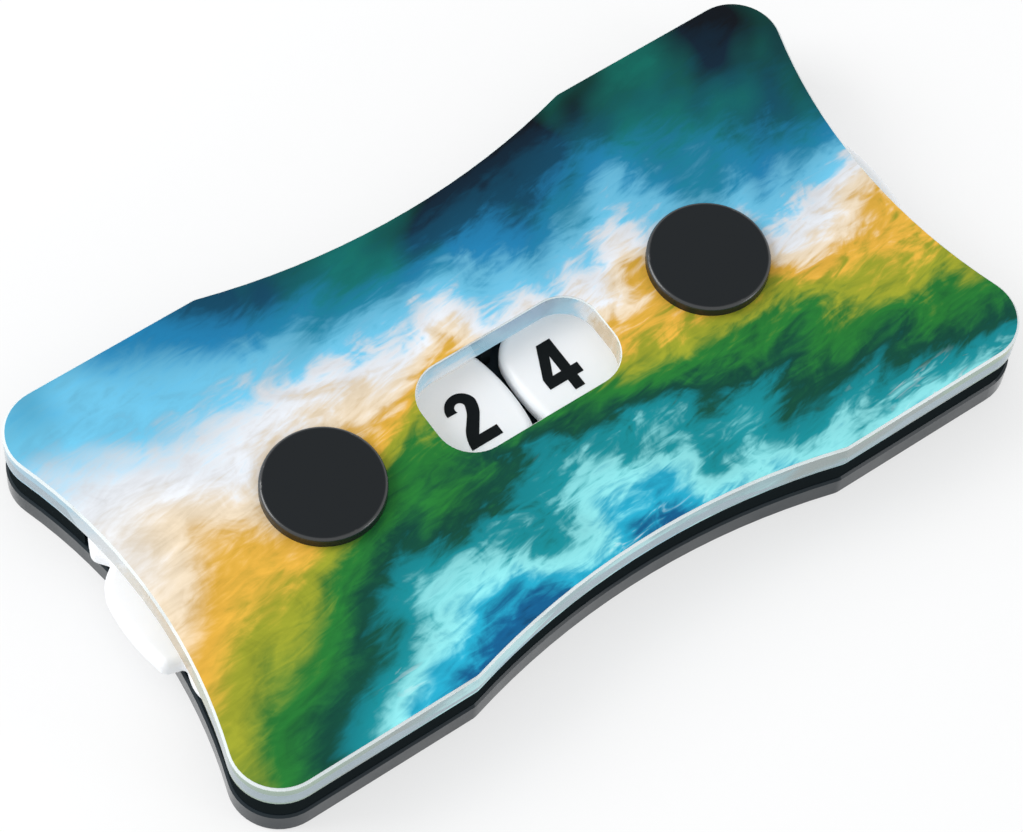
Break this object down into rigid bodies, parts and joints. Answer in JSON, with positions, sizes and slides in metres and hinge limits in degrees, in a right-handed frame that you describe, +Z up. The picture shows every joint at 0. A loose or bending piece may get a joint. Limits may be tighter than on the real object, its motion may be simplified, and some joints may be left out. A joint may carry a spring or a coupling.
{
  "type": "life counter",
  "caption": "Flat pocket life counter with a clear printed top, black edge layers and two notched white dials that turn behind a window.",
  "frame": {"origin": "centre of the flat underside of the base plate", "axes": "+X along the counter towards the right dial, +Y towards its back edge (the numerals' top), +Z up out of the printed face"},
  "size_m": [0.0944, 0.0502, 0.011],
  "materials": {
    "black_acrylic": "gloss",
    "clear_acrylic": "gloss, transparent",
    "print": "satin printed ink",
    "white_acrylic": "satin",
    "ink": "matte",
    "black_nylon": "satin",
    "white_nylon": "matte",
    "adhesive": "clear film",
    "black_steel": "black oxide"
  },
  "bodies": {
    "housing": {"base_plate": "black_acrylic", "back_spacer": "black_acrylic", "front_spacer": "black_acrylic", "back_lower_tape": "adhesive", "back_upper_tape": "adhesive", "front_lower_tape": "adhesive", "front_upper_tape": "adhesive", "clear_plate": "clear_acrylic", "printed_film": "print", "left_bush": "white_nylon", "left_lower_washer": "white_nylon", "left_upper_washer": "white_nylon", "left_post": "black_nylon", "left_screw": "black_steel", "right_bush": "white_nylon", "right_lower_washer": "white_nylon", "right_upper_washer": "white_nylon", "right_post": "black_nylon", "right_screw": "black_steel"},
    "left_dial_body": {"left_dial": "white_acrylic", "left_numerals": "ink"},
    "right_dial_body": {"right_dial": "white_acrylic", "right_numerals": "ink"}
  },
  "joints": [
    {"name": "left_dial_spin", "type": "hinge", "parent": "housing", "child": "left_dial_body", "pos_m": [-0.0236, 0, 0.0046], "axis": [0, 0, 1], "continuous": true},
    {"name": "right_dial_spin", "type": "hinge", "parent": "housing", "child": "right_dial_body", "pos_m": [0.0236, 0, 0.0046], "axis": [0, 0, 1], "continuous": true}
  ]
}
